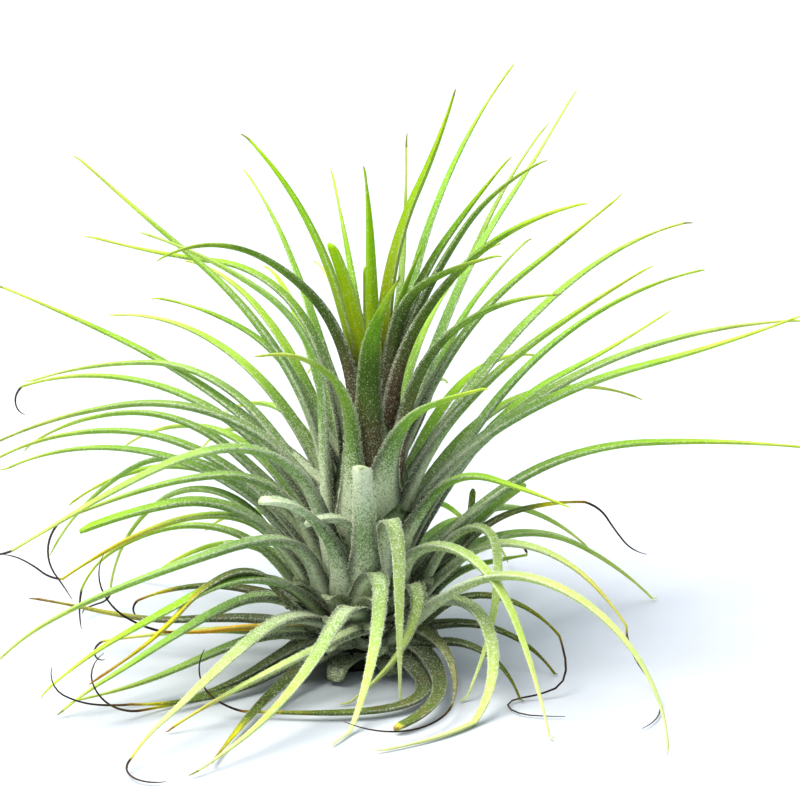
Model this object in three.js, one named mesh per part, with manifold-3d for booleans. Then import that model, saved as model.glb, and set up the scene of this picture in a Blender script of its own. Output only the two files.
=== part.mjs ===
// An air plant: a rosette of narrow, channelled leaves on a short upright stem.
// Millimetres, +Z up. The origin is the middle of the stem's flat bottom, +X is
// the plant's right side and +Y its back.

import * as THREE from "three";
import { mergeVertices } from "three/addons/utils/BufferGeometryUtils.js";
import Module from "manifold-3d";

const wasm = await Module();
wasm.setup();

// The stem: how far it leans to the right, and [height, radius] up its side.
const STEM_LEAN = 0.08;
const STEM_SIDES = 16;
const STEM_PROFILE = [
  [0, 4.5], [3, 6.0], [8, 7.4], [15, 8.0], [22, 7.6], [30, 6.4], [38, 4.6], [46, 2.6],
];

// Every blade: its root starts inside the stem, and it is cut back to stand
// clear of the stem and of the leaves inside it.
const ROOT_DEPTH = 0.3;
const CLEARANCE = 0.3;
const LOWEST = 0.5; // of a leaf's middle line, over what the plant lies on
const ROOT_THICKNESS = 0.8;
const TIP_THICKNESS = 0.6;
const CHANNEL_DEPTH = 0.22; // of the blade's width
const END_WIDTH = { point: 0.16, blunt: 0.42, broad: 0.85 }; // of the blade's width
const ROOT_WIDTH = 1.1; // of the blade's width
const ROOT_LENGTH = 0.2; // of the blade's length
const DEGREES_PER_STEP = 28;
const FEWEST_STEPS = 5;
const MOST_STEPS = 9;
const FINE_STEPS = 12; // of the path within each step

const FINISHES = {
  stem: { color: 0x9aa58a, roughness: 0.85 },
  heart: { color: 0x7fb52e, roughness: 0.5 },
  upper: { color: 0x5d7a3c, roughness: 0.6 },
  silver: { color: 0x8fa886, roughness: 0.75 },
  drooping: { color: 0x9db46f, roughness: 0.75 },
  old: { color: 0x6f7040, roughness: 0.8 },
  dry: { color: 0xb5853c, roughness: 0.8 },
};

// One row for each leaf: node, finish, direction of its root round the stem in
// degrees (0 is right, 90 is back, 270 is front), how far it swings round on
// its way out, height of the root, its climb in degrees at places that are
// spread evenly from root to tip, length, width and the kind of tip. Where a
// leaf swings unevenly, its swing is such a list too.
// Leaves of one node are joined where they touch.
const LEAVES = [
  ["heart_leaves", "heart", 174, -6, 47, [74, 74, 62, 46], 44, 3.4, "point"],
  ["heart_leaves", "heart", 220, -10, 47, [80, 76, 72, 68], 26, 4.0, "blunt"],
  ["heart_leaves", "heart", 258, -12, 47, [74, 86, 86, 76], 37, 2.7, "point"],
  ["heart_leaves", "heart", 120, 0, 47, [80, 84, 86, 86], 19, 2.4, "blunt"],
  ["heart_leaves", "heart", 40, -14, 47, [98, 80, 62, 72], 48, 4.0, "point"],
  ["heart_leaves", "heart", 342, -6, 47, [104, 80, 70, 66], 24, 2.2, "point"],
  ["upper_leaf_front", "upper", 266, 32, 34, [86, 86, 50, 48], 40, 4.8, "point"],
  ["upper_leaves_right", "upper", 313, 14, 44, [86, 78, 32, 20], 38, 3.6, "point"],
  ["upper_leaves_right", "upper", 322, 20, 42, [86, 60, 40, 18], 53, 3.6, "point"],
  ["upper_leaves_right", "upper", 357, 6, 44, [88, 66, 57, 28], 47, 3.0, "point"],
  ["upper_leaves_right", "upper", 26, 3, 44, [90, 68, 50, 44], 43, 2.8, "point"],
  ["upper_leaf_low_right", "upper", 326, 9, 35, [84, 67, 34, 10], 45, 3.6, "point"],
  ["upper_leaf_left", "upper", 210, -4, 41, [84, 78, 64, 46, 34, 10, -18], 52, 3.6, "point"],
  ["silver_leaf_1", "silver", 6, 4, 36, [70, 58, 38, 38], 53, 3.2, "point"],
  ["silver_leaf_2", "silver", 349, 8, 28, [74, 50, 38, 33], 55, 4.4, "point"],
  ["silver_leaves_1", "silver", 24, 4, 20, [58, 50, 26, 4], 70, 3.2, "point"],
  ["silver_leaf_3", "silver", 38, 6, 26, [54, 40, 21, 0], 77, 3.2, "point"],
  ["silver_leaf_4", "silver", 356, 3, 24, [64, 32, 16, 22], 72, 4.2, "point"],
  ["silver_leaves_1", "silver", 12, 0, 20, [66, 36, 15, -1], 77, 3.8, "point"],
  ["silver_leaf_5", "silver", 31, 5, 16, [58, 44, 15, 20], 64, 3.2, "point"],
  ["silver_leaves_2", "silver", 54, -8, 32, [54, 57, 40, 46], 71, 2.8, "point"],
  ["silver_leaves_2", "silver", 64, -12, 36, [22, 48, 46, 32], 66, 2.6, "point"],
  ["silver_leaves_3", "silver", 72, -16, 43, [46, 54, 40, 30], 67, 2.6, "point"],
  ["silver_leaves_2", "silver", 57, -5, 32, [26, 56, 32, 20], 50, 2.6, "point"],
  ["silver_leaf_6", "silver", 288, 19, 29, [74, 50, 26, 22], 44, 4.8, "point"],
  ["silver_leaves_4", "silver", 167, -3, 27, [86, 59, 38, 39], 70, 3.6, "point"],
  ["silver_leaves_4", "silver", 194, -6, 25, [88, 88, 38, 21], 62, 3.8, "point"],
  ["silver_leaf_7", "silver", 119, 3, 36, [34, 56, 48, 28], 53, 2.8, "point"],
  ["silver_leaf_8", "silver", 148, 16, 34, [84, 62, 1, 11], 63, 3.0, "point"],
  ["silver_leaves_4", "silver", 154, 4, 33, [58, 58, 22, 4], 43, 2.6, "point"],
  ["silver_leaf_9", "silver", 103, -2, 41, [52, 56, 40, 32], 45, 2.4, "point"],
  ["silver_leaves_3", "silver", 72, 18, 43, [54, 52, 62, 74], 44, 2.2, "point"],
  ["silver_leaf_10", "silver", 250, -29, 25, [86, 88, 40, 4], 45, 4.8, "point"],
  ["silver_leaf_11", "silver", 322, 13, 21, [64, 54, -6, -14], 36, 3.8, "point"],
  ["old_leaves_1", "old", 1, -6, 15, [8, 52, 18, 0], 32, 3.0, "point"],
  ["silver_leaf_12", "silver", 352, 3, 12, [62, 38, 5, -4], 73, 4.2, "point"],
  ["silver_leaf_13", "silver", 21, 0, 11, [30, 42, 40, 26], 27, 3.6, "blunt"],
  ["old_leaves_1", "old", 5, -3, 10, [32, 38, 84, 86], 24, 2.4, "blunt"],
  ["silver_leaf_14", "silver", 10, -2, 8, [26, 42, 12, 6], 23, 3.2, "blunt"],
  ["drooping_leaves_1", "drooping", 317, 6, 4, [42, 44, 30, 2, -24, -52, -86], 74, 4.0, "point"],
  ["drooping_leaves_1", "drooping", 352, -14, 8, [52, 50, 38, 0, -24, -43, -55], 47, 3.3, "point"],
  [
    "drooping_leaves_1", "drooping", 325, [-24, -14, -4, -12, -21, -26, -29], 10,
    [85, 62, 6, -28, -50, -55, -60], 56, 3.8, "point",
  ],
  [
    "drooping_leaves_1", "drooping", 341, [11, 11, 11, -7, -52, -87, -107, -117, -122], 9,
    [50, 65, 62, 20, -60, -75, -65, -60, -60], 53, 3.2, "point",
  ],
  [
    "drooping_leaves_1", "drooping", 318, [6, 18, 15, -15, -50, -75, -92, -104, -112], 6,
    [52, 42, 5, -40, -45, -35, -22, -12, -5], 58, 3.4, "point",
  ],
  ["old_leaves_2", "old", 352, -10, 5, [22, 8, -22, -54], 29, 2.8, "point"],
  ["old_leaves_2", "old", 342, -2, 3, [44, 42, -8, -48], 34, 3.0, "point"],
  ["old_leaves_2", "old", 331, -14, 5, [-2, 18, -18, -66], 28, 3.0, "point"],
  ["old_leaves_2", "old", 327, -112, 6, [-10, -14, -4, -6], 33, 3.2, "blunt"],
  ["dry_leaf_1", "dry", 328, -72, 8, [2, -10, -24, -14], 25, 3.0, "point"],
  [
    "old_leaf_1", "old", 315, [0, -10, -30, -75, -110, -128, -136, -140, -140], 5,
    [-25, -14, -8, -2, 0, 0, 0, 0, 0], 47, 3.4, "point",
  ],
  ["stub_leaves", "drooping", 272, -8, 16, [56, 60, 62, 66], 28, 3.9, "broad"],
  ["stub_leaves", "drooping", 267, -86, 14, [88, 88, 80, 55, 5, -25], 21, 4.0, "blunt"],
  ["stub_leaves", "drooping", 242, -26, 15, [84, 58, 38, 6], 28, 3.8, "blunt"],
  [
    "drooping_leaf_1", "drooping", 290, -18, 17,
    [78, 70, 50, -40, -86, -86, -86, -84, -82], 45, 3.6, "blunt",
  ],
  [
    "drooping_leaf_2", "drooping", 268, [45, 40, 18, -6, -12, -16, -20, -24, -28], 11,
    [78, 66, 0, -62, -52, -46, -42, -38, -35], 44, 3.6, "point",
  ],
  [
    "drooping_leaf_3", "drooping", 325, [-10, -20, -50, -95, -116, -124, -128], 10,
    [60, 55, -45, -55, -44, -38, -32], 32, 3.4, "point",
  ],
  [
    "drooping_leaf_4", "drooping", 268, [-5, -15, -24, -30, -35, -40, -44], 9,
    [60, 10, -28, -24, -20, -15, -12], 51, 3.6, "point",
  ],
  [
    "drooping_leaf_5", "drooping", 300, [-60, -72, -80, -86, -90, -93, -95], 8,
    [25, 0, -8, -12, -16, -20, -26], 42, 3.2, "point",
  ],
  ["drooping_leaf_6", "drooping", 228, 10, 8, [36, 14, -12, -17, -17, -13, -30], 51, 3.8, "point"],
  ["dry_leaf_2", "dry", 198, -5, 5, [26, 8, -2, 10], 27, 2.2, "point"],
  ["silver_leaves_5", "silver", 178, 0, 22, [84, 31, -8, -26], 64, 3.8, "point"],
  ["silver_leaves_6", "silver", 168, -2, 16, [60, 34, -3, -30], 63, 3.6, "point"],
  ["silver_leaves_7", "silver", 156, 6, 14, [56, 24, -2, -28], 63, 3.2, "point"],
  ["silver_leaf_15", "silver", 222, -12, 19, [80, 66, 30, 0, -15, -20, -22], 72, 4.2, "point"],
  ["silver_leaf_16", "silver", 196, -2, 18, [72, 64, 30, 0, -10, -16, -20], 51, 3.6, "point"],
  ["silver_leaves_8", "silver", 188, 2, 11, [70, 44, -8, -20], 47, 3.4, "blunt"],
  ["silver_leaves_8", "silver", 183, 6, 5, [78, 68, 48, 4, -18, -28, -34], 56, 3.4, "point"],
  ["silver_leaves_8", "silver", 176, 2, 4, [66, 62, 42, 10, -16, -34, -68], 53, 3.0, "point"],
  [
    "drooping_leaf_7", "drooping", 209, [10, 5, 0, -5, -9, -9, -9, -9, -9], 11,
    [80, 68, 12, -10, -13, -15, -18, -25, -40], 64, 4.2, "point",
  ],
  [
    "drooping_leaves_2", "drooping", 210, [10, 6, 0, -6, -6], 7,
    [70, 25, -17, -22, -35], 56, 3.8, "point",
  ],
  ["drooping_leaves_2", "drooping", 202, 12, 8, [48, 22, -14, -22, -23, -20, -28], 49, 3.4, "point"],
  ["drooping_leaf_8", "drooping", 210, -3, 4, [42, 10, -6, -13, -12, -6, -2], 44, 3.4, "point"],
  ["old_leaf_2", "old", 171, -4, 7, [32, 12, -8, -28], 32, 3.0, "point"],
  ["old_leaves_3", "old", 214, 4, 3, [54, 54, 48, -10, -38, -24, -18], 54, 2.8, "point"],
  ["old_leaf_3", "old", 175, 5, 3, [40, 10, -2, -4, 9, 13, 10], 48, 2.9, "point"],
  ["drooping_leaf_9", "drooping", 191, -3, 4, [18, 7, -2, -6], 36, 2.4, "point"],
  ["old_leaves_3", "old", 212, 6, 6, [-12, -18, -4, 6], 35, 3.2, "point"],
  ["old_leaves_3", "old", 222, -14, 4, [-4, -12, 3, 12], 38, 3.2, "point"],
  ["old_leaves_3", "old", 232, 26, 4, [-2, -8, -5, 2], 42, 3.2, "point"],
  ["silver_leaf_17", "silver", 150, 6, 4, [56, 56, 46, 2, -38, -60, -82], 63, 2.8, "point"],
  ["silver_leaves_9", "silver", 149, 6, 27, [36, 28, 17, 14], 70, 3.2, "point"],
  ["silver_leaves_5", "silver", 166, -2, 22, [62, 38, 7, -22], 61, 3.4, "point"],
  ["silver_leaves_9", "silver", 150, 7, 21, [66, 42, -7, -22], 67, 3.0, "point"],
  ["silver_leaves_6", "silver", 158, -6, 19, [48, 35, -10, -36], 63, 3.2, "point"],
  ["silver_leaves_7", "silver", 151, 10, 10, [57, 50, 36, 4, -33, -46, -60], 66, 3.0, "point"],
];

// The leaves round the back grow in tufts of three: the direction and height
// of the middle leaf's root, the climbs from root to tip, and the length.
const BACK_TUFTS = [
  { turn: 84, rise: 27, slopes: [68, 48, 24, 2], length: 61 },
  { turn: 124, rise: 25, slopes: [66, 46, 20, -6], length: 62 },
  { turn: 60, rise: 18, slopes: [62, 36, 2, -20], length: 62 },
  { turn: 100, rise: 17, slopes: [62, 34, -4, -28], length: 62 },
  { turn: 134, rise: 14, slopes: [58, 30, -10, -34], length: 60 },
  { turn: 45, rise: 9, slopes: [44, 16, -26, -42], length: 54 },
  { turn: 84, rise: 9, slopes: [46, 16, -24, -42], length: 54 },
  { turn: 120, rise: 8, slopes: [40, 12, -20, -34], length: 52 },
];
const TUFT_SPREAD = 11;
const TUFT_CLIMB = 5;
const BACK_LEAF_WIDTH = 3.4;

function readRow([node, finish, turn, swing, rise, slopes, length, width, tip]) {
  const swings = Array.isArray(swing) ? swing : [0, swing];
  return { node, finish, turn, swings, rise, slopes, length, width, tip };
}

function backLeaves() {
  return BACK_TUFTS.flatMap((tuft, number) =>
    [-1, 0, 1].map((side) => ({
      node: `back_leaves_${number + 1}`,
      finish: tuft.rise > 10 ? "silver" : "drooping",
      turn: tuft.turn + side * TUFT_SPREAD,
      swings: [0, side * TUFT_SPREAD],
      rise: tuft.rise - Math.abs(side),
      slopes: tuft.slopes.map((slope) => slope - Math.abs(side) * TUFT_CLIMB),
      length: tuft.length - 3 * side,
      width: BACK_LEAF_WIDTH,
      tip: "point",
    }))
  );
}

// Reads a value off a list of [place, value] pairs, in straight stretches.
function readOff(pairs, place) {
  const next = pairs.findIndex(([end]) => end >= place);
  if (next <= 0) return pairs[next === 0 ? 0 : pairs.length - 1][1];
  const [start, low] = pairs[next - 1];
  const [end, high] = pairs[next];
  return low + ((high - low) * (place - start)) / (end - start);
}

function stemRadius(height) {
  return readOff(STEM_PROFILE, height);
}

function stemGeometry(grow) {
  const top = STEM_PROFILE[STEM_PROFILE.length - 1][0];
  const outline = [new THREE.Vector2(0, -grow)];
  for (const [height, radius] of STEM_PROFILE) {
    const shift = height === 0 ? -grow : height === top ? grow : 0;
    outline.push(new THREE.Vector2(radius + grow, height + shift));
  }
  outline.push(new THREE.Vector2(0, top + grow));
  const stem = new THREE.LatheGeometry(outline, STEM_SIDES);
  stem.rotateX(Math.PI / 2);
  stem.applyMatrix4(new THREE.Matrix4().makeShear(0, 0, 0, 0, STEM_LEAN, 0));
  return stem;
}

// Values that are spread evenly from root to tip, as pairs for readOff.
function evenly(values) {
  return values.map((value, k) => [k / (values.length - 1), value]);
}

// The climb and the heading of a leaf at a share of its length, in radians.
function aimAt(leaf, share) {
  return {
    climb: THREE.MathUtils.degToRad(readOff(evenly(leaf.slopes), share)),
    heading: THREE.MathUtils.degToRad(leaf.turn + readOff(evenly(leaf.swings), share)),
  };
}

function forward({ climb, heading }) {
  return new THREE.Vector3(
    Math.cos(climb) * Math.cos(heading),
    Math.cos(climb) * Math.sin(heading),
    Math.sin(climb)
  );
}

// How far a list of angles turns in all, from each to the next.
function turning(angles) {
  return angles.slice(1).reduce((sum, angle, k) => sum + Math.abs(angle - angles[k]), 0);
}

function stepCount(leaf) {
  const bend = turning(leaf.slopes) + turning(leaf.swings) / 2;
  const steps = Math.round(bend / DEGREES_PER_STEP) + 4;
  return THREE.MathUtils.clamp(steps, FEWEST_STEPS, MOST_STEPS);
}

// Points along the middle of a leaf, one for each step and one for the root.
function leafPath(leaf, steps) {
  const angle = THREE.MathUtils.degToRad(leaf.turn);
  const reach = stemRadius(leaf.rise) - ROOT_DEPTH;
  const point = new THREE.Vector3(
    STEM_LEAN * leaf.rise + reach * Math.cos(angle), reach * Math.sin(angle), leaf.rise
  );
  const path = [point.clone()];
  const count = steps * FINE_STEPS;
  for (let k = 0; k < count; k += 1) {
    point.addScaledVector(forward(aimAt(leaf, (k + 0.5) / count)), leaf.length / count);
    point.z = Math.max(point.z, LOWEST);
    if ((k + 1) % FINE_STEPS === 0) path.push(point.clone());
  }
  return path;
}

// Young blades stay broad and end quickly, the others narrow evenly.
function halfWidth(leaf, share) {
  const root = readOff([[0, ROOT_WIDTH], [ROOT_LENGTH, 1], [1, 1]], share);
  const young = leaf.finish === "heart" || leaf.finish === "upper";
  const left = young ? Math.pow(1 - Math.pow(share, 1.6), 0.9) : 1 - share;
  const end = END_WIDTH[leaf.tip];
  return (leaf.width * root * (end + (1 - end) * left)) / 2;
}

// The six corners of a blade's section, going round from the middle of its
// channel: which side each is on, and whether it is on the channel's face.
const CORNERS = [[0, 1], [1, 1], [1, -1], [0, -1], [-1, -1], [-1, 1]];

function bladeGeometry(leaf, grow) {
  const steps = stepCount(leaf);
  const path = leafPath(leaf, steps);
  const tube = new THREE.CylinderGeometry(1, 1, 1, CORNERS.length, steps);
  tube.deleteAttribute("normal");
  tube.deleteAttribute("uv");
  const blade = mergeVertices(tube);
  const spots = blade.getAttribute("position");
  for (let k = 0; k < spots.count; k += 1) {
    const share = THREE.MathUtils.clamp(spots.getY(k) + 0.5, 0, 1);
    const step = Math.round(share * steps);
    const aim = aimAt(leaf, share);
    const ahead = forward(aim);
    const side = new THREE.Vector3(Math.sin(aim.heading), -Math.cos(aim.heading), 0);
    const up = new THREE.Vector3().crossVectors(side, ahead);
    const spot = path[step].clone();
    if (step === 0) spot.addScaledVector(ahead, -grow);
    if (step === steps) spot.addScaledVector(ahead, grow);
    if (Math.hypot(spots.getX(k), spots.getZ(k)) > 0.5) {
      const around = Math.atan2(spots.getX(k), spots.getZ(k)) / (Math.PI / 3);
      const [edge, face] = CORNERS[(Math.round(around) + 6) % 6];
      const half = halfWidth(leaf, share);
      const thickness = THREE.MathUtils.lerp(ROOT_THICKNESS, TIP_THICKNESS, share);
      const lift = Math.abs(edge) * CHANNEL_DEPTH * 2 * half;
      spot.addScaledVector(side, edge * (half + grow));
      spot.addScaledVector(up, lift + face * (thickness / 2 + grow));
    }
    spots.setXYZ(k, spot.x, spot.y, spot.z);
  }
  return blade;
}

function solidOf(geometry) {
  const bare = geometry.clone();
  bare.deleteAttribute("normal");
  bare.deleteAttribute("uv");
  const merged = mergeVertices(bare);
  return new wasm.Manifold(new wasm.Mesh({
    numProp: 3,
    vertProperties: Float32Array.from(merged.getAttribute("position").array),
    triVerts: Uint32Array.from(merged.getIndex().array),
  }));
}

function geometryOf(solid) {
  const mesh = solid.getMesh();
  const geometry = new THREE.BufferGeometry();
  geometry.setAttribute("position", new THREE.BufferAttribute(mesh.vertProperties, 3));
  geometry.setIndex(new THREE.BufferAttribute(mesh.triVerts, 1));
  geometry.computeVertexNormals();
  return geometry;
}

// What is left of a leaf once the stem and the leaves inside it are cut away
// is its largest piece: the scraps at its root lie under the other leaves.
function largestPiece(solid) {
  return solid.decompose().reduce((best, piece) => (piece.volume() > best.volume() ? piece : best));
}

// Leaves are set from the top of the stem down, so that the older ones lie
// outside the younger ones, and each is cut clear of what is already there.
function setLeaves(leaves) {
  const stem = solidOf(stemGeometry(CLEARANCE));
  const order = [...leaves].sort((a, b) => b.rise - a.rise);
  const nodes = new Map();
  for (const leaf of order) {
    let solid = solidOf(bladeGeometry(leaf, 0)).subtract(stem);
    for (const [name, node] of nodes) {
      if (name === leaf.node) continue;
      for (const clear of node.clear) {
        if (clear.intersect(solid).isEmpty()) continue;
        solid = solid.subtract(clear);
      }
    }
    solid = largestPiece(solid);
    const node = nodes.get(leaf.node) ?? { finish: leaf.finish, clear: [], solid: null };
    node.solid = node.solid ? node.solid.add(solid) : solid;
    node.clear.push(solidOf(bladeGeometry(leaf, CLEARANCE)));
    nodes.set(leaf.node, node);
  }
  return nodes;
}

function named(name, geometry, finish) {
  const material = new THREE.MeshStandardMaterial({ ...FINISHES[finish], metalness: 0 });
  const mesh = new THREE.Mesh(geometry, material);
  mesh.name = name;
  return mesh;
}

const plant = new THREE.Group();
plant.add(named("stem", geometryOf(solidOf(stemGeometry(0))), "stem"));
for (const [name, node] of setLeaves([...LEAVES.map(readRow), ...backLeaves()])) {
  plant.add(named(name, geometryOf(node.solid), node.finish));
}

export default plant;
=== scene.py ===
"""An air plant: a rosette of narrow channelled leaves on a short upright stem.

Finer leaves, a stem with old leaf scars, white hairs and scales, and dry thread-like
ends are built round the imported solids. The scene is in metres, +Z up, with +X to the
viewer's right and +Y to the plant's back. The plant's own lengths are millimetres, and
its points are turned into metres as they are set.
"""

import math
import random

import bmesh
import bpy
from mathutils import Matrix, Vector


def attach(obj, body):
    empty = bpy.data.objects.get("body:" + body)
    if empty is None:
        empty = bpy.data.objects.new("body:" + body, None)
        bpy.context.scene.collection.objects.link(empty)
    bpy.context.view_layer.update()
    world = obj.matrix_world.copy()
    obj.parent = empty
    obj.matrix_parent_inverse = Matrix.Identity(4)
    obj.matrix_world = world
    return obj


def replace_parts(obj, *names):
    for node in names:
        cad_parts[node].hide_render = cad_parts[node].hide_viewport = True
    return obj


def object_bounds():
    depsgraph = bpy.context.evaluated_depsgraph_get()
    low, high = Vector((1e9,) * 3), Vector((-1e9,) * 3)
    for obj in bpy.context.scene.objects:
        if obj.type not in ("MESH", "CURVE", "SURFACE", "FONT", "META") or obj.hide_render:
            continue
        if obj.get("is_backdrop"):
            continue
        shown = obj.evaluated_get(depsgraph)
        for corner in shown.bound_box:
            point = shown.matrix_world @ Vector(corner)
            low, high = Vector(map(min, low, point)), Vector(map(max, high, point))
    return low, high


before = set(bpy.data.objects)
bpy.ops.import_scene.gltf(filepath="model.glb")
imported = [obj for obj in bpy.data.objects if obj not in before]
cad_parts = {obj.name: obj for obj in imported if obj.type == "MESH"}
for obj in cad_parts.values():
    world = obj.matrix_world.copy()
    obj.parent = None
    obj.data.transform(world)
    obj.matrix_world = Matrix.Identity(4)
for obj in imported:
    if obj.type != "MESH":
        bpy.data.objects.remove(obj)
CAD_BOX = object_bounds()

MM = 0.001

# The stem: how far it leans to the right, and (height, radius) up its side.
STEM_LEAN = 0.08
STEM_PROFILE = ((0, 4.5), (3, 6.0), (8, 7.4), (15, 8.0), (22, 7.6), (30, 6.4), (38, 4.6), (46, 2.6))
ROOT_DEPTH = 0.3  # how deep a leaf's root lies in the stem

# A leaf's width at each millimetre from its root, as a share of its own width. Below the
# root it is a broad sheath that goes down inside the older leaves' roots.
ROOT_WIDTH = ((-13, 1.3), (-8, 1.7), (-3, 1.9), (0, 1.75), (3, 1.42), (8, 1.15), (15, 1))
YOUNG_ROOT_WIDTH = ((-13, 1.2), (-5, 1.3), (0, 1.2), (8, 1.05), (15, 1))
END_WIDTH = {"whole": 0.06, "blunt": 0.5, "broad": 0.8}  # of the leaf's width
CUT_KEEPS = 0.72  # of a whole leaf's colours, from its root on, in a leaf that was cut
ROUND_END = 0.06  # of the blade's length
END_CLOSES = 0.85  # how far a round end closes, 1 being to a point
YOUNG_TAPER = 1.6, 0.9  # powers that keep a young leaf wide for most of its length
LOWEST = 0.5  # height of a leaf's middle where it lies on the surface

# A sheath's foot: how far below the leaf's root, how deep in the stem and how high at least.
# From there its middle line is drawn first towards the stem's skin and then towards the
# blade's own line, at these shares of the drop back from the root.
SHEATH_DROP = 13.0
SHEATH_DEPTH = 1.7
LOWEST_FOOT = 1
SKIN_BELOW = 0.6
BEND_BELOW = 0.3

# The depth of the channel, as a share of the width there, and the thickness, along the blade.
CHANNEL_DEPTH = ((0, 0.2), (0.4, 0.24), (1, 0.3))
THICKNESS = ((-0.1, 1.2), (0, 1.9), (0.15, 1.6), (0.5, 1.05), (0.8, 0.7), (1, 0.42))
BLUNT_THICKNESS = ((-0.1, 1.2), (0, 1.9), (0.2, 1.6), (1, 0.95))
THREAD_THICKNESS = ((0, 0.42), (0.3, 0.34), (0.8, 0.24), (1, 0.1))
CHANNEL_POWER = 1.5  # 1 makes the channel a V, 2 a round trough
RIM_THINNING = 0.35  # how much thinner a leaf is at its rims

AROUND = 12  # sides of a leaf's section
SHEATH_STEPS = 8
BLADE_STEPS = 42
THREAD_STEPS = 16
YELLOW_ONLY = 0.6  # how far a leaf that isn't old goes from green, past yellow, to brown

# What a leaf draws at random: the degrees that it rolls over on its way and, where it has no
# long thread, how dark its short dry end is, and the end's bend, swing and length.
MOST_ROLL = 18
TIP_ASH = (0, 0, 0, 0.6)
TIP_BEND = 25
TIP_SWING = 15
TIP_LENGTH = (1.2, 2.6)

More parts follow.
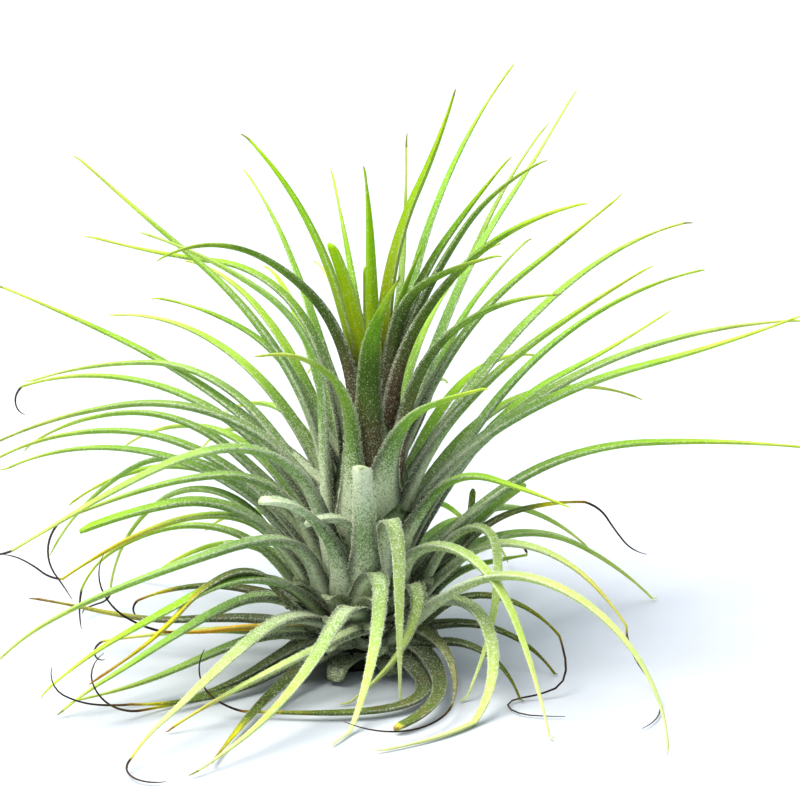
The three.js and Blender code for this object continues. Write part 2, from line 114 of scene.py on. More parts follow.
# One row for each leaf: node, direction of its root round the stem in degrees, how far
# it swings round on its way out, height of its root, its climb in degrees at places that
# are spread evenly from root to tip, length, width and its end: whole, blunt, broad, or
# a long dry thread given by its own swing, climbs and length. Where a leaf or thread
# swings unevenly, its swing is a list too. A leaf that is turning yellow has one value
# more: the share of its length where that starts.
LEAVES = (
    ("heart_leaves", 174, -6, 47, (74, 74, 62, 46), 44, 3.4, "whole"),
    ("heart_leaves", 220, -10, 47, (80, 76, 72, 68), 26, 4.0, "blunt"),
    ("heart_leaves", 258, -12, 47, (74, 86, 86, 76), 37, 2.7, "whole"),
    ("heart_leaves", 120, 0, 47, (80, 84, 86, 86), 19, 2.4, "blunt"),
    ("heart_leaves", 40, -14, 47, (98, 80, 62, 72), 48, 4.0, "whole"),
    ("heart_leaves", 342, -6, 47, (104, 80, 70, 66), 24, 2.2, "whole"),
    ("upper_leaf_front", 266, 32, 34, (86, 86, 50, 48), 40, 4.8, "whole"),
    ("upper_leaves_right", 313, 14, 44, (86, 78, 32, 20), 38, 3.6, "whole"),
    ("upper_leaves_right", 322, 20, 42, (86, 60, 40, 18), 53, 3.6, "whole"),
    ("upper_leaves_right", 357, 6, 44, (88, 66, 57, 28), 47, 3.0, "whole"),
    ("upper_leaves_right", 26, 3, 44, (90, 68, 50, 44), 43, 2.8, "whole"),
    ("upper_leaf_low_right", 326, 9, 35, (84, 67, 34, 10), 45, 3.6, "whole"),
    ("upper_leaf_left", 210, -4, 41, (84, 78, 64, 46, 34, 10, -18), 52, 3.6, "whole"),
    ("silver_leaf_1", 6, 4, 36, (70, 58, 38, 38), 53, 3.2, "whole"),
    ("silver_leaf_2", 349, 8, 28, (74, 50, 38, 33), 55, 4.4, "whole"),
    ("silver_leaves_1", 24, 4, 20, (58, 50, 26, 4), 70, 3.2, "whole"),
    ("silver_leaf_3", 38, 6, 26, (54, 40, 21, 0), 77, 3.2, "whole"),
    ("silver_leaf_4", 356, 3, 24, (64, 32, 16, 22), 72, 4.2, "whole"),
    ("silver_leaves_1", 12, 0, 20, (66, 36, 15, -1), 77, 3.8, "whole"),
    ("silver_leaf_5", 31, 5, 16, (58, 44, 15, 20), 64, 3.2, "whole"),
    ("silver_leaves_2", 54, -8, 32, (54, 57, 40, 46), 71, 2.8, "whole"),
    ("silver_leaves_2", 64, -12, 36, (22, 48, 46, 32), 66, 2.6, "whole"),
    ("silver_leaves_3", 72, -16, 43, (46, 54, 40, 30), 67, 2.6, "whole"),
    ("silver_leaves_2", 57, -5, 32, (26, 56, 32, 20), 50, 2.6, "whole"),
    ("silver_leaf_6", 288, 19, 29, (74, 50, 26, 22), 44, 4.8, "whole"),
    ("silver_leaves_4", 167, -3, 27, (86, 59, 38, 39), 70, 3.6, "whole"),
    ("silver_leaves_4", 194, -6, 25, (88, 88, 38, 21), 62, 3.8, "whole"),
    ("silver_leaf_7", 119, 3, 36, (34, 56, 48, 28), 53, 2.8, "whole"),
    ("silver_leaf_8", 148, 16, 34, (84, 62, 1, 11), 63, 3.0, "whole"),
    ("silver_leaves_4", 154, 4, 33, (58, 58, 22, 4), 43, 2.6, "whole"),
    ("silver_leaf_9", 103, -2, 41, (52, 56, 40, 32), 45, 2.4, "whole"),
    ("silver_leaves_3", 72, 18, 43, (54, 52, 62, 74), 44, 2.2, "whole"),
    ("silver_leaf_10", 250, -29, 25, (86, 88, 40, 4), 45, 4.8, "whole"),
    ("silver_leaf_11", 322, 13, 21, (64, 54, -6, -14), 36, 3.8, "whole"),
    ("old_leaves_1", 1, -6, 15, (8, 52, 18, 0), 32, 3.0, (10, (-14, -58, -52, -12), 14), 0.7),
    ("silver_leaf_12", 352, 3, 12, (62, 38, 5, -4), 73, 4.2, "whole"),
    ("silver_leaf_13", 21, 0, 11, (30, 42, 40, 26), 27, 3.6, "blunt"),
    ("old_leaves_1", 5, -3, 10, (32, 38, 84, 86), 24, 2.4, "blunt"),
    ("silver_leaf_14", 10, -2, 8, (26, 42, 12, 6), 23, 3.2, (0, (95, 170, 175, 175), 9)),
    ("drooping_leaves_1", 317, 6, 4, (42, 44, 30, 2, -24, -52, -86), 74, 4.0, "whole"),
    (
        "drooping_leaves_1", 352, -14, 8, (52, 50, 38, 0, -24, -43, -55),
        47, 3.3, (-110, (-90, -25, -8, 0), 26), 0.55,
    ),
    (
        "drooping_leaves_1", 325, (-24, -14, -4, -12, -21, -26, -29), 10,
        (85, 62, 6, -28, -50, -55, -60), 56, 3.8, "whole",
    ),
    (
        "drooping_leaves_1", 341, (11, 11, 11, -7, -52, -87, -107, -117, -122), 9,
        (50, 65, 62, 20, -60, -75, -65, -60, -60), 53, 3.2, "whole",
    ),
    (
        "drooping_leaves_1", 318, (6, 18, 15, -15, -50, -75, -92, -104, -112), 6,
        (52, 42, 5, -40, -45, -35, -22, -12, -5), 58, 3.4, "whole",
    ),
    ("old_leaves_2", 352, -10, 5, (22, 8, -22, -54), 29, 2.8, "whole"),
    (
        "old_leaves_2", 342, -2, 3, (44, 42, -8, -48),
        34, 3.0, ((-10, -70, -140, -150, -50, 10, 20), (-70, -55, -15, -4, -2, 0, 0), 30),
    ),
    ("old_leaves_2", 331, -14, 5, (-2, 18, -18, -66), 28, 3.0, "whole"),
    ("old_leaves_2", 327, -112, 6, (-10, -14, -4, -6), 33, 3.2, "blunt", 0.95),
    ("dry_leaf_1", 328, -72, 8, (2, -10, -24, -14), 25, 3.0, (-90, (-6, -2, 8, 20), 22)),
    (
        "old_leaf_1", 315, (0, -10, -30, -75, -110, -128, -136, -140, -140), 5,
        (-25, -14, -8, -2, 0, 0, 0, 0, 0), 47, 3.4, (0, (12, 35, 80, 120), 14), 0.85,
    ),
    ("stub_leaves", 272, -8, 16, (56, 60, 62, 66), 28, 3.9, "broad"),
    ("stub_leaves", 267, -86, 14, (88, 88, 80, 55, 5, -25), 21, 4.0, "blunt"),
    ("stub_leaves", 242, -26, 15, (84, 58, 38, 6), 28, 3.8, "blunt"),
    ("drooping_leaf_1", 290, -18, 17, (78, 70, 50, -40, -86, -86, -86, -84, -82), 45, 3.6, "whole"),
    (
        "drooping_leaf_2", 268, (45, 40, 18, -6, -12, -16, -20, -24, -28), 11,
        (78, 66, 0, -62, -52, -46, -42, -38, -35), 44, 3.6, "whole",
    ),
    (
        "drooping_leaf_3", 325, (-10, -20, -50, -95, -116, -124, -128), 10,
        (60, 55, -45, -55, -44, -38, -32), 32, 3.4, "whole",
    ),
    (
        "drooping_leaf_4", 268, (-5, -15, -24, -30, -35, -40, -44), 9,
        (60, 10, -28, -24, -20, -15, -12), 51, 3.6, "whole",
    ),
    (
        "drooping_leaf_5", 300, (-60, -72, -80, -86, -90, -93, -95), 8,
        (25, 0, -8, -12, -16, -20, -26), 42, 3.2, "whole", 0.7,
    ),
    (
        "drooping_leaf_6", 228, 10, 8, (36, 14, -12, -17, -17, -13, -30),
        51, 3.8, (150, (-15, -8, -4, -2), 11), 0.8,
    ),
    ("dry_leaf_2", 198, -5, 5, (26, 8, -2, 10), 27, 2.2, (0, (18, 36, 70, 118), 19)),
    ("silver_leaves_5", 178, 0, 22, (84, 31, -8, -26), 64, 3.8, "whole"),
    ("silver_leaves_6", 168, -2, 16, (60, 34, -3, -30), 63, 3.6, "whole"),
    ("silver_leaves_7", 156, 6, 14, (56, 24, -2, -28), 63, 3.2, "whole"),
    (
        "silver_leaf_15", 222, -12, 19, (80, 66, 30, 0, -15, -20, -22),
        72, 4.2, (0, (-12, 0, 10, 5), 6),
    ),
    (
        "silver_leaf_16", 196, -2, 18, (72, 64, 30, 0, -10, -16, -20),
        51, 3.6, (4, (-42, -84, -122, -118), 15),
    ),
    ("silver_leaves_8", 188, 2, 11, (70, 44, -8, -20), 47, 3.4, "blunt"),
    (
        "silver_leaves_8", 183, 6, 5, (78, 68, 48, 4, -18, -28, -34),
        56, 3.4, (-4, (5, 42, 30, 4), 11), 0.45,
    ),
    (
        "silver_leaves_8", 176, 2, 4, (66, 62, 42, 10, -16, -34, -68),
        53, 3.0, (0, (-78, -84, -92, -98), 7),
    ),
    (
        "drooping_leaf_7", 209, (10, 5, 0, -5, -9, -9, -9, -9, -9), 11,
        (80, 68, 12, -10, -13, -15, -18, -25, -40), 64, 4.2, "whole",
    ),
    ("drooping_leaves_2", 210, (10, 6, 0, -6, -6), 7, (70, 25, -17, -22, -35), 56, 3.8, "whole"),
    ("drooping_leaves_2", 202, 12, 8, (48, 22, -14, -22, -23, -20, -28), 49, 3.4, "whole"),
    ("drooping_leaf_8", 210, -3, 4, (42, 10, -6, -13, -12, -6, -2), 44, 3.4, "whole"),
    ("old_leaf_2", 171, -4, 7, (32, 12, -8, -28), 32, 3.0, (0, (-40, -80, -150, -190), 5), 0.75),
    ("old_leaves_3", 214, 4, 3, (54, 54, 48, -10, -38, -24, -18), 54, 2.8, "whole", 0.5),
    ("old_leaf_3", 175, 5, 3, (40, 10, -2, -4, 9, 13, 10), 48, 2.9, "whole", 0.55),
    ("drooping_leaf_9", 191, -3, 4, (18, 7, -2, -6), 36, 2.4, (0, (-20, -60, -120, -200), 5), 0.6),
    ("old_leaves_3", 212, 6, 6, (-12, -18, -4, 6), 35, 3.2, (-20, (4, 34, 72, 150), 17), 0.8),
    ("old_leaves_3", 222, -14, 4, (-4, -12, 3, 12), 38, 3.2, (-10, (6, 14, 34, 104), 17), 0.8),
    ("old_leaves_3", 232, 26, 4, (-2, -8, -5, 2), 42, 3.2, "whole", 0.6),
    (
        "silver_leaf_17", 150, 6, 4, (56, 56, 46, 2, -38, -60, -82),
        63, 2.8, (130, (-90, -10, 0, 5), 9),
    ),
    ("silver_leaves_9", 149, 6, 27, (36, 28, 17, 14), 70, 3.2, "whole"),
    ("silver_leaves_5", 166, -2, 22, (62, 38, 7, -22), 61, 3.4, (0, (-40, -70, -110, -170), 6)),
    ("silver_leaves_9", 150, 7, 21, (66, 42, -7, -22), 67, 3.0, "whole"),
    ("silver_leaves_6", 158, -6, 19, (48, 35, -10, -36), 63, 3.2, "whole"),
    ("silver_leaves_7", 151, 10, 10, (57, 50, 36, 4, -33, -46, -60), 66, 3.0, "whole"),
)

# The tufts of three round the back: direction and height of the middle leaf's root,
# its climbs and its length.
BACK_TUFTS = (
    (84, 27, (68, 48, 24, 2), 61),
    (124, 25, (66, 46, 20, -6), 62),
    (60, 18, (62, 36, 2, -20), 62),
    (100, 17, (62, 34, -4, -28), 62),
    (134, 14, (58, 30, -10, -34), 60),
    (45, 9, (44, 16, -26, -42), 54),
    (84, 9, (46, 16, -24, -42), 54),
    (120, 8, (40, 12, -20, -34), 52),
)
TUFT_SPREAD = 11  # degrees between a tuft's roots, and that its outer leaves swing away
TUFT_CLIMB = 5  # degrees that its outer leaves climb less
TUFT_LENGTH = 3  # from one leaf's length to the next one's
BACK_LEAF_WIDTH = 3.4

# The kind of leaf that a node's name stands for, and a slot name for it.
SLOTS = {
    "heart": "heart_leaf",
    "upper": "upper_leaf",
    "silver": "silver_leaf",
    "drooping": "drooping_leaf",
    "stub": "drooping_leaf",
    "old": "old_leaf",
    "dry": "dry_leaf",
    "back": "silver_leaf",
    "base": "stem",
}


def read_off(pairs, place):
    """The value at a place in a list of (place, value) pairs, in straight stretches."""
    if place <= pairs[0][0]:
        return pairs[0][1]
    for (start, low), (end, high) in zip(pairs, pairs[1:]):
        if place <= end:
            return low + (high - low) * (place - start) / (end - start)
    return pairs[-1][1]


def colour(code):
    """A colour's linear values from its hexadecimal code."""
    values = [int(code[k : k + 2], 16) / 255 for k in (0, 2, 4)]
    return [v / 12.92 if v <= 0.04045 else ((v + 0.055) / 1.055) ** 2.4 for v in values] + [1]


def way(heading, climb):
    """A step of one in a direction, in radians round and up."""
    return Vector((
        math.cos(climb) * math.cos(heading), math.cos(climb) * math.sin(heading), math.sin(climb)
    ))


def evenly(values):
    """Values at even steps from 0 to 1, as pairs for read_off."""
    return [(k / (len(values) - 1), value) for k, value in enumerate(values)]


def on_curve(points, share):
    """The point and the way ahead at a place on a smooth curve from the first point to the last."""
    while len(points) > 2:
        points = [a.lerp(b, share) for a, b in zip(points, points[1:])]
    start, end = points
    return start.lerp(end, share), (end - start).normalized()


def swing_steps(swing):
    """A leaf's swing as a list: an even one is a single number."""
    return swing if isinstance(swing, tuple) else (0, swing)


class Leaf:
    """A leaf's own measures, and the stations along its sheath, blade and dry thread."""

    def __init__(
        self, number, node, turn, swing, rise, climbs, length, width, end, yellow_from=None
    ):
        self.number = number
        self.node = node
        self.kind = node.split("_")[0]
        self.young = self.kind in ("heart", "upper")
        self.turn, self.rise = turn, rise
        self.swings = swing_steps(swing)
        self.climbs, self.length, self.width = climbs, length, width
        self.yellow_from = yellow_from
        self.kept = CUT_KEEPS if end == "blunt" and self.kind != "stub" else 1
        self.thread = end if isinstance(end, tuple) else None
        self.end = "whole" if self.thread else end
        draw = random.Random(number)
        self.tone = draw.random()
        self.roll = math.radians(draw.uniform(-MOST_ROLL, MOST_ROLL))
        self.ash = 1.0 if self.thread else 0.0  # how dark the dry end is
        if self.end == "whole" and not self.thread:
            self.ash = draw.choice(TIP_ASH)
            bend = draw.uniform(-TIP_BEND, TIP_BEND)
            sway = draw.uniform(-TIP_SWING, TIP_SWING)
            self.thread = sway, (climbs[-1], climbs[-1] + bend), draw.uniform(*TIP_LENGTH)
        self.stations = []
        self.walk()

    def station(self, point, ahead, heading, share, roll=0):
        """The point, the way ahead, the way to the right, the way out of the channel, the share."""
        side = Vector((math.sin(heading), -math.cos(heading), 0))
        side = Matrix.Rotation(roll, 3, ahead) @ side
        return point.copy(), ahead, side, side.cross(ahead), share

    def walk(self):
        """Sets the stations along the sheath, the blade and the thread."""
        heading = math.radians(self.turn)
        outward = Vector((math.cos(heading), math.sin(heading), 0))
        root = self.on_stem(outward, self.rise, ROOT_DEPTH)
        drop = min(SHEATH_DROP, self.rise - LOWEST_FOOT)
        foot = self.on_stem(outward, self.rise - drop, SHEATH_DEPTH)
        skin = self.on_stem(outward, self.rise - drop * SKIN_BELOW, 0)
        bend = root - way(heading, math.radians(self.climbs[0])) * drop * BEND_BELOW
        for k in range(SHEATH_STEPS):
            share = k / SHEATH_STEPS
            point, ahead = on_curve((foot, skin, bend, root), share)
            place = (share - 1) * drop / self.length
            self.stations.append(self.station(point, ahead, heading, place))
        point = self.run(root, self.turn, self.swings, self.climbs, self.length, BLADE_STEPS, 0)
        if self.thread:
            swing, climbs, length = self.thread
            turn = self.turn + self.swings[-1]
            self.run(point, turn, swing_steps(swing), climbs, length, THREAD_STEPS, 1)

    def on_stem(self, outward, height, depth):
        """The point at a height and a depth in the stem."""
        reach = read_off(STEM_PROFILE, height) - depth
        return outward * reach + Vector((STEM_LEAN * height, 0, height))

    def run(self, point, turn, swings, climbs, length, steps, start):
        """Adds the stations of one stretch, and returns where it ends."""

        def heading_and_way(share):
            heading = math.radians(turn + read_off(evenly(swings), share))
            return heading, way(heading, math.radians(read_off(evenly(climbs), share)))

        for k in range(steps + 1):
            share = k / steps
            heading, ahead = heading_and_way(share)
            roll = self.roll * (share if start == 0 else 1)
            if k or start == 0:
                self.stations.append(self.station(point, ahead, heading, start + share, roll))
            if k < steps:
                _, ahead = heading_and_way((k + 0.5) / steps)
                point = point + ahead * (length / steps)
                point.z = max(point.z, LOWEST)
        return point

    def half_width(self, share):
        if share > 1:
            return read_off(THREAD_THICKNESS, share - 1) / 2
        root = read_off(YOUNG_ROOT_WIDTH if self.young else ROOT_WIDTH, share * self.length)
        blade = max(share, 0)
        late, steep = YOUNG_TAPER
        left = (1 - blade**late) ** steep if self.young else 1 - blade
        end = END_WIDTH[self.end]
        whole = self.width * root * (end + (1 - end) * left)
        if self.end != "whole":
            rounding = max(0, (share - 1 + ROUND_END) / ROUND_END)
            whole *= math.sqrt(1 - END_CLOSES * rounding**2)
        return max(whole, THREAD_THICKNESS[0][1]) / 2

    def thickness(self, share):
        if share > 1:
            return read_off(THREAD_THICKNESS, share - 1)
        return read_off(THICKNESS if self.end == "whole" else BLUNT_THICKNESS, share)

    def skin(self, k, turn):
        """The point of the skin at a station, turned so far round the section from the right."""
        point, _, side, up, share = self.stations[k]
        half = self.half_width(share)
        across = math.cos(turn)
        lift = 0
        if share <= 1:
            lift = abs(across) ** CHANNEL_POWER * read_off(CHANNEL_DEPTH, share) * 2 * half
        fullness = (1 - RIM_THINNING * across * across) * min(self.thickness(share) / 2, half)
        return point + side * across * half + up * (lift + math.sin(turn) * fullness)


def all_leaves():
    """The leaves of the table and of the tufts, numbered in that order."""
    rows = list(LEAVES)
    for number, (turn, rise, climbs, length) in enumerate(BACK_TUFTS):
        for side in (-1, 0, 1):
            rows.append((
                f"back_leaves_{number + 1}",
                turn + side * TUFT_SPREAD,
                side * TUFT_SPREAD,
                rise - abs(side),
                tuple(climb - abs(side) * TUFT_CLIMB for climb in climbs),
                length - TUFT_LENGTH * side,
                BACK_LEAF_WIDTH,
                "whole",
            ))
    return [Leaf(number, *row) for number, row in enumerate(rows)]


# Meshes


def keep(name, bm, material, slot):
    """Makes a finished mesh a piece of the plant."""
    bmesh.ops.recalc_face_normals(bm, faces=bm.faces)
    mesh = bpy.data.meshes.new(name)
    bm.to_mesh(mesh)
    bm.free()
    mesh.materials.append(material)
    mesh.shade_smooth()
    piece = bpy.data.objects.new(name, mesh)
    bpy.context.scene.collection.objects.link(piece)
    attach(piece, "root")
    return piece


def tube(bm, around, steps):
    """Adds a closed upright tube, a metre in radius and in height, and returns its vertices.

    Leaves that are in the mesh by then lie within a decimetre of its axis, so the last
    line leaves them out.
    """
    made = bmesh.ops.create_cone(bm, cap_ends=True, segments=around, radius1=1, radius2=1, depth=1)
    edges = {e for v in made["verts"] for e in v.link_edges}
    long = [e for e in edges if abs(e.verts[0].co.z - e.verts[1].co.z) > 0.5]
    bmesh.ops.subdivide_edges(bm, edges=long, cuts=steps - 1)
    return [v for v in bm.verts if v.co.xy.length > 0.5]


def add_leaf(bm, leaf, marks):
    """Adds a leaf to a mesh: a tube whose rings lie on the leaf's stations."""
    place, edge, tone, yellow, ash = marks
    steps = len(leaf.stations) - 1
    for vertex in tube(bm, AROUND, steps):
        k = round((vertex.co.z + 0.5) * steps)
        turn = math.atan2(vertex.co.y, vertex.co.x)
        share = leaf.stations[k][4]
        across = math.cos(turn) * leaf.half_width(share)
        vertex[place] = (across, share * leaf.length, share * leaf.kept)
        vertex[edge] = abs(math.cos(turn))
        vertex[tone] = leaf.tone
        vertex[ash] = leaf.ash
        if leaf.yellow_from is not None:
            faded = (share - leaf.yellow_from) / (1 - leaf.yellow_from)
            vertex[yellow] = max(0, faded * (1 if leaf.kind == "old" else YELLOW_ONLY))
        vertex.co = leaf.skin(k, turn) * MM


def leaf_piece(name, leaves, material):
    """Makes one piece of some leaves of a kind."""
    bm = bmesh.new()
    floats = bm.verts.layers.float
    place = bm.verts.layers.float_vector.new("place")
    marks = [place] + [floats.new(label) for label in ("edge", "tone", "yellow", "ash")]
    for leaf in leaves:
        add_leaf(bm, leaf, marks)
    return keep(name, bm, material, SLOTS[leaves[0].kind])


# Hairs: how many to a square millimetre at these shares of the blade, and their length.
HAIR_PLACES = (0, 0.4, 1)
HAIRS = {
    "heart": ((0.2, 0.1, 0.05), 0.22),
    "upper": ((2.4, 1.0, 0.2), 0.28),
    "silver": ((4.6, 3.2, 0.6), 0.38),
    "drooping": ((4.6, 4.2, 1.0), 0.4),
    "stub": ((4.6, 4.6, 3.0), 0.4),
    "old": ((2.4, 1.4, 0.3), 0.3),
    "dry": ((0.8, 0.5, 0.2), 0.24),
    "back": ((3.0, 1.8, 0.4), 0.38),
}
HAIR_RADIUS = 0.045
HAIRS_ON_RIMS = 0.5  # of all the hairs
RIM_STRAY = 0.25  # how far round the section they stray from the rim, in radians
HAIR_LEAN = 0.75  # towards the leaf's tip, of its stand-off
HAIR_STRAY = 0.35  # in any direction, of its stand-off
HAIR_SIZES = (0.6, 1.3)  # of its kind's length
HAIR_RAISED = 0.4  # of its length from its middle, so that a tenth of it is sunk in the leaf
LAST_HAIR = 0.97  # of the blade's length
HAIR_SEED = 1000


def hair_spots(leaf):
    """Yields each hair's foot, direction and size on a leaf."""
    densities, _ = HAIRS[leaf.kind]
    draw = random.Random(HAIR_SEED + leaf.number)
    spread = tuple(zip(HAIR_PLACES, densities))
    step = leaf.length / BLADE_STEPS
    for k in range(SHEATH_STEPS, SHEATH_STEPS + BLADE_STEPS):
        share = leaf.stations[k][4]
        if share > LAST_HAIR:
            break
        area = 4 * leaf.half_width(share) * step  # of both faces
        count = int(area * read_off(spread, share) + draw.random())
        for _ in range(count):
            turn = draw.uniform(-math.pi, math.pi)
            if draw.random() < HAIRS_ON_RIMS:
                turn = draw.choice((0, math.pi)) + draw.gauss(0, RIM_STRAY)
            along = draw.random()
            foot = leaf.skin(k, turn).lerp(leaf.skin(k + 1, turn), along)
            _, ahead, side, up, _ = leaf.stations[k]
            out = side * math.cos(turn) + up * math.sin(turn)
            stray = Vector([draw.uniform(-HAIR_STRAY, HAIR_STRAY) for _ in range(3)])
            lean = (out + ahead * HAIR_LEAN + stray).normalized()
            yield foot, lean, draw.uniform(*HAIR_SIZES)


def hair_at(tip):
    """A hair's four vertices, from the one at its tip."""
    return [tip] + [edge.other_vert(tip) for edge in tip.link_edges]


def upright_hairs(bm, count):
    """Fills a mesh with hairs, all standing in one place, and returns their tips."""
    bmesh.ops.create_cone(bm, cap_ends=True, segments=3, radius1=HAIR_RADIUS, radius2=0, depth=1)
    while len(bm.verts) < 4 * count:
        bmesh.ops.duplicate(bm, geom=list(bm.verts) + list(bm.edges) + list(bm.faces))
    tips = [v for v in bm.verts if v.co.z > 0]
    spare = [v for tip in tips[count:] for v in hair_at(tip)]
    bmesh.ops.delete(bm, geom=spare, context="VERTS")
    return [v for v in bm.verts if v.co.z > 0]


def make_hairs(kind, leaves, material):
    """The hairs of one kind of leaf: three-sided spikes, set on the leaves' skin."""
    spots = [(leaf, *spot) for leaf in leaves for spot in hair_spots(leaf)]
    length = HAIRS[kind][1]
    bm = bmesh.new()
    tone = bm.verts.layers.float.new("tone")
    for (leaf, foot, lean, size), tip in zip(spots, upright_hairs(bm, len(spots))):
        turned = lean.to_track_quat("Z", "Y").to_matrix()
        for vertex in hair_at(tip):
            height = (vertex.co.z + HAIR_RAISED) * length * size
            spike = Vector((vertex.co.x, vertex.co.y, height))
            vertex.co = (foot + turned @ spike) * MM
            vertex[tone] = leaf.tone
    keep(f"{kind}_leaf_hairs", bm, material, SLOTS[kind])


STEM_SIDES = 48
STEM_RINGS = 60
SCAR_PITCH = 1.6  # height between old leaf scars
SCAR_DEPTH = 0.18
SCAR_WAVE = 3  # radians that a scar wanders up and down on its way round

# The short bases of old leaves round the foot of the stem, in rows: height, number and climb.
BASE_ROWS = ((2.5, 9, 5), (5, 9, 25), (8, 10, 40), (11, 11, 55))
BASE_BEND = (0, -5, -25, -60)
BASE_LENGTH = 6.5
BASE_WIDTH = 4.4
BASE_TWIST = 40  # degrees that a row is turned for each millimetre of its height
BASE_TURN_STRAY = 9
BASE_CLIMB_STRAY = 12
BASE_SIZES = (0.7, 1.2)
BASE_SEED = 7
FIRST_BASE = 500  # a base's number, as a leaf


def make_leaf_bases(material):
    draw = random.Random(BASE_SEED)
    bases = []
    for height, count, climb in BASE_ROWS:
        for k in range(count):
            stray = draw.uniform(-BASE_TURN_STRAY, BASE_TURN_STRAY)
            turn = 360 * k / count + height * BASE_TWIST + stray
            climbs = tuple(
                climb + bend + draw.uniform(-BASE_CLIMB_STRAY, BASE_CLIMB_STRAY)
                for bend in BASE_BEND
            )
            length = BASE_LENGTH * draw.uniform(*BASE_SIZES)
            row = "base", turn, 0, height, climbs, length, BASE_WIDTH, "blunt"
            bases.append(Leaf(FIRST_BASE + len(bases), *row))
    leaf_piece("old_leaf_bases", bases, material)


def make_stem(material):
    """The stem, ringed by the scars of old leaves."""
    bm = bmesh.new()
    top = STEM_PROFILE[-1][0]
    for vertex in tube(bm, STEM_SIDES, STEM_RINGS):
        height = (vertex.co.z + 0.5) * top
        turn = math.atan2(vertex.co.y, vertex.co.x)
        wander = SCAR_WAVE * math.sin(2 * turn)
        scar = math.sin(2 * math.pi * height / SCAR_PITCH + wander)
        radius = read_off(STEM_PROFILE, height) - SCAR_DEPTH * (1 - scar) / 2
        vertex.co = Vector((
            radius * math.cos(turn) + STEM_LEAN * height, radius * math.sin(turn), height
        )) * MM
    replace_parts(keep("ringed_stem", bm, material, "stem"), "stem")


# Materials


class Nodes:
    """Adds nodes to a tree and links them."""

    def __init__(self, tree):
        self.tree = tree

    def add(self, kind, **settings):
        node = self.tree.nodes.new(kind)
        for name, value in settings.items():
            setattr(node, name, value)
        return node

    def feed(self, node, **inputs):
        """Sets or links inputs by their names, with _ for a space."""
        for name, value in inputs.items():
            self.put(node.inputs[name.replace("_", " ")], value)
        return node

    def put(self, socket, value):
        if isinstance(value, bpy.types.NodeSocket):
            self.tree.links.new(value, socket)
        else:
            socket.default_value = value

    def maths(self, operation, first, second=0.0, clamp=False):
        node = self.add("ShaderNodeMath", operation=operation, use_clamp=clamp)
        self.put(node.inputs[0], first)
        self.put(node.inputs[1], second)
        return node.outputs[0]

    def times(self, first, second):
        return self.maths("MULTIPLY", first, second)

    def rest(self, share):
        """What a share leaves of one."""
        return self.maths("SUBTRACT", 1.0, share)

    def ease(self, value, start, end, low=0.0, high=1.0):
        """A smooth change from low to high while the value goes from start to end."""
        node = self.add("ShaderNodeMapRange", interpolation_type="SMOOTHSTEP")
        for place, given in enumerate((value, start, end, low, high)):
            self.put(node.inputs[place], given)
        return node.outputs[0]

    def mix(self, share, first, second):
        node = self.add("ShaderNodeMix", data_type="RGBA")
        self.put(node.inputs["Factor"], share)
        self.put(node.inputs["A"], first)
        self.put(node.inputs["B"], second)
        return node.outputs["Result"]

    def attribute(self, name, output="Fac"):
        """What the mesh says at its vertices."""
        return self.add("ShaderNodeAttribute", attribute_name=name).outputs[output]

    def here(self):
        """The place on the object, in metres."""
        return self.add("ShaderNodeTexCoord").outputs["Object"]

    def parts(self, vector):
        """A vector's X, Y and Z."""
        node = self.add("ShaderNodeSeparateXYZ")
        self.put(node.inputs[0], vector)
        return node.outputs

    def noise(self, pattern, vector):
        scale, detail, roughness = NOISE[pattern]
        node = self.add("ShaderNodeTexNoise")
        self.feed(node, Vector=vector, Scale=scale, Detail=detail, Roughness=roughness)
        return node.outputs["Fac"]

    def bump(self, height, strength, distance):
        """The normal of a skin that a pattern raises."""
        node = self.add("ShaderNodeBump")
        self.feed(node, Strength=strength, Distance=distance, Height=height)
        return node.outputs[0]

    def group(self, tree, **inputs):
        """A group's outputs, for some inputs."""
        node = self.add("ShaderNodeGroup", node_tree=tree)
        return self.feed(node, **inputs).outputs


# Each pattern's noise: its waves to a metre, its detail and its roughness. The fibres'
# pattern has units of its own.
NOISE = {
    "wander": (260, 2, 0.5),
    "fibres": (1, 3, 0.5),
    "flecks": (4400, 2, 0.6),
    "clumps": (1300, 3, 0.6),
    "dying": (230, 4, 0.6),
    "specks": (1900, 2, 0.6),
    "hair": (2500, 2, 0.5),
    "bark": (700, 5, 0.6),
    "bark patches": (160, 3, 0.5),
    "floor": (40, 2, 0.5),
}


def new_group(name, inputs, outputs):
    """A shader node group, with the kind of each input and output by its label."""
    tree = bpy.data.node_groups.new(name, "ShaderNodeTree")
    for side, sockets in (("INPUT", inputs), ("OUTPUT", outputs)):
        for label, kind in sockets.items():
            tree.interface.new_socket(label, in_out=side, socket_type=f"NodeSocket{kind}")
    n = Nodes(tree)
    return tree, n, n.add("NodeGroupInput").outputs, n.add("NodeGroupOutput").inputs


# The flesh. A pair is where a change starts and ends: as a share of the blade, of the way
# to brown, of a noise, or in millimetres from the root. The hues, saturations and
# brightnesses are the leaves' own ranges, in which 0.5, 1 and 1 change nothing.
WANDER = 0.22  # how far the colours' borders wander, as a share of the blade
ROOT_COLOUR_TO = 0.02
TIP_COLOUR_FROM = 0.98
YELLOWING = 0.02, 0.45
BROWNING = 0.6, 1.0
FIBRES_ACROSS = 5.5  # waves to a millimetre
FIBRES_ALONG = 0.16
FIBRES_APART = 90  # from one leaf's pattern to another's
DARK_FIBRES = 0.62, 0.38
HUES = 0.492, 0.506
SATURATIONS = 0.9, 1.06
BRIGHTNESSES = 0.85, 1.12
DRYING = 0.985, 1.08
# Painted shade: the rims near the root and the sheath below the root are darkened, as if in the
# shadow of the leaves round them.
SHADED_RIM = 0.4, 1.0  # from the leaf's middle line to its rim
SHADED_ROOT = 26, 4
SHADED_SHEATH = -9, 4

